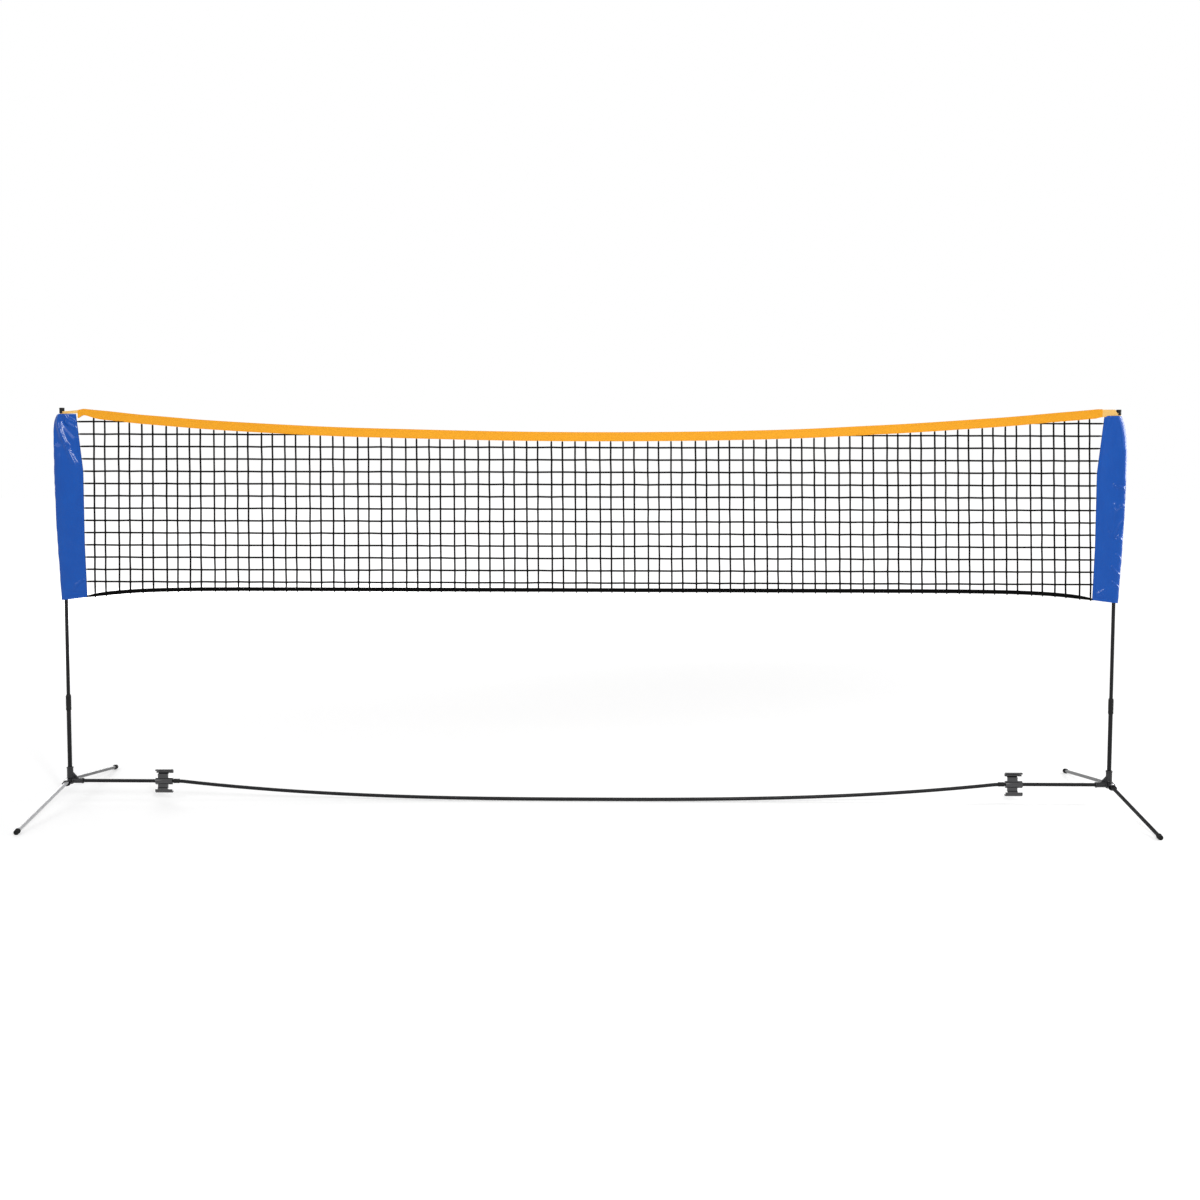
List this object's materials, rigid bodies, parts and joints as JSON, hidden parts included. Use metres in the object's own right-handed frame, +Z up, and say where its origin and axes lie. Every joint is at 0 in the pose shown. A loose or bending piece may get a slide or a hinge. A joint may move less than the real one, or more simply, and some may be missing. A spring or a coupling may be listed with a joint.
{
  "type": "badminton net",
  "caption": "Portable badminton net: telescoping posts on hinged feet, joined by a sagging ground rail with turning leg clips, with blue post sleeves and an orange top tape.",
  "frame": {"origin": "on the floor, under the middle of the net", "axes": "+X along the net to the right as its front is faced, +Y away from the viewer, +Z up"},
  "size_m": [4.2428, 1.0022, 1.574],
  "materials": {
    "black_tube": "semi-gloss black powder coat",
    "grey_tube": "gloss dark grey",
    "hub_plastic": "moulded black",
    "clip_plastic": "moulded dark grey",
    "cap_plastic": "moulded black",
    "foot_rubber": "matt",
    "rivet_steel": "plated",
    "blue_nylon": "glossy coated royal blue",
    "orange_tape": "woven orange",
    "black_webbing": "woven black",
    "net_cord": "knotted dark grey cord"
  },
  "bodies": {
    "stand": {"base_hub_left": "hub_plastic", "base_hub_right": "hub_plastic", "post_lower_left": "black_tube", "post_lower_right": "black_tube", "rail_stub_left": "black_tube", "rail_stub_right": "black_tube", "rail_ferrule_left": "cap_plastic", "rail_ferrule_right": "cap_plastic", "rail_outer_left": "black_tube", "rail_outer_right": "black_tube", "rail_middle_left": "black_tube", "rail_middle_right": "black_tube", "leg_pin_front_left": "rivet_steel", "leg_pin_front_right": "rivet_steel", "leg_pin_rear_left": "rivet_steel", "leg_pin_rear_right": "rivet_steel", "rail_joiner": "cap_plastic"},
    "front_leg_left": {"leg_front_left": "grey_tube", "foot_front_left": "foot_rubber"},
    "front_leg_right": {"leg_front_right": "grey_tube", "foot_front_right": "foot_rubber"},
    "rear_leg_left": {"leg_rear_left": "grey_tube", "foot_rear_left": "foot_rubber"},
    "rear_leg_right": {"leg_rear_right": "grey_tube", "foot_rear_right": "foot_rubber"},
    "clip_left": {"storage_clip_left": "clip_plastic"},
    "lock_left": {"height_lock_left": "cap_plastic"},
    "clip_right": {"storage_clip_right": "clip_plastic"},
    "lock_right": {"height_lock_right": "cap_plastic"},
    "net_and_left_post": {"post_upper_left": "black_tube", "post_guide_left": "cap_plastic", "post_cap_left": "cap_plastic", "net_mesh": "net_cord", "top_tape": "orange_tape", "bottom_band": "black_webbing", "net_sleeve_left": "blue_nylon", "net_sleeve_right": "blue_nylon", "tape_loop_left": "orange_tape", "tape_loop_right": "orange_tape"},
    "right_post": {"post_upper_right": "black_tube", "post_guide_right": "cap_plastic", "post_cap_right": "cap_plastic"}
  },
  "joints": [
    {"name": "front_leg_left_fold", "type": "hinge", "parent": "stand", "child": "front_leg_left", "pos_m": [-2.085, -0.036, 0.075], "axis": [0, -0.142, 0.9899], "range_deg": [0, 90]},
    {"name": "rear_leg_left_fold", "type": "hinge", "parent": "stand", "child": "rear_leg_left", "pos_m": [-2.085, 0.036, 0.075], "axis": [0, -0.142, -0.9899], "range_deg": [0, 90]},
    {"name": "front_leg_right_fold", "type": "hinge", "parent": "stand", "child": "front_leg_right", "pos_m": [2.085, -0.036, 0.075], "axis": [0, 0.142, -0.9899], "range_deg": [0, 90]},
    {"name": "rear_leg_right_fold", "type": "hinge", "parent": "stand", "child": "rear_leg_right", "pos_m": [2.085, 0.036, 0.075], "axis": [0, 0.142, 0.9899], "range_deg": [0, 90]},
    {"name": "clip_left_turn", "type": "hinge", "parent": "stand", "child": "clip_left", "pos_m": [-1.705, 0, 0.075], "axis": [1, 0, 0], "continuous": true},
    {"name": "clip_right_turn", "type": "hinge", "parent": "stand", "child": "clip_right", "pos_m": [1.705, 0, 0.075], "axis": [1, 0, 0], "continuous": true},
    {"name": "lock_left_turn", "type": "hinge", "parent": "stand", "child": "lock_left", "pos_m": [-2.085, 0, 0.41], "axis": [0, 0, 1], "range_deg": [0, 120]},
    {"name": "lock_right_turn", "type": "hinge", "parent": "stand", "child": "lock_right", "pos_m": [2.085, 0, 0.41], "axis": [0, 0, 1], "range_deg": [0, 120]},
    {"name": "net_height", "type": "slide", "parent": "stand", "child": "net_and_left_post", "axis": [0, 0, 1], "range_m": [-0.24, 0]},
    {"name": "right_post_height", "type": "slide", "parent": "stand", "child": "right_post", "axis": [0, 0, 1], "range_m": [-0.24, 0]}
  ],
  "couplings": [
    {"joint": "right_post_height", "follows": "net_height", "ratio": 1}
  ]
}
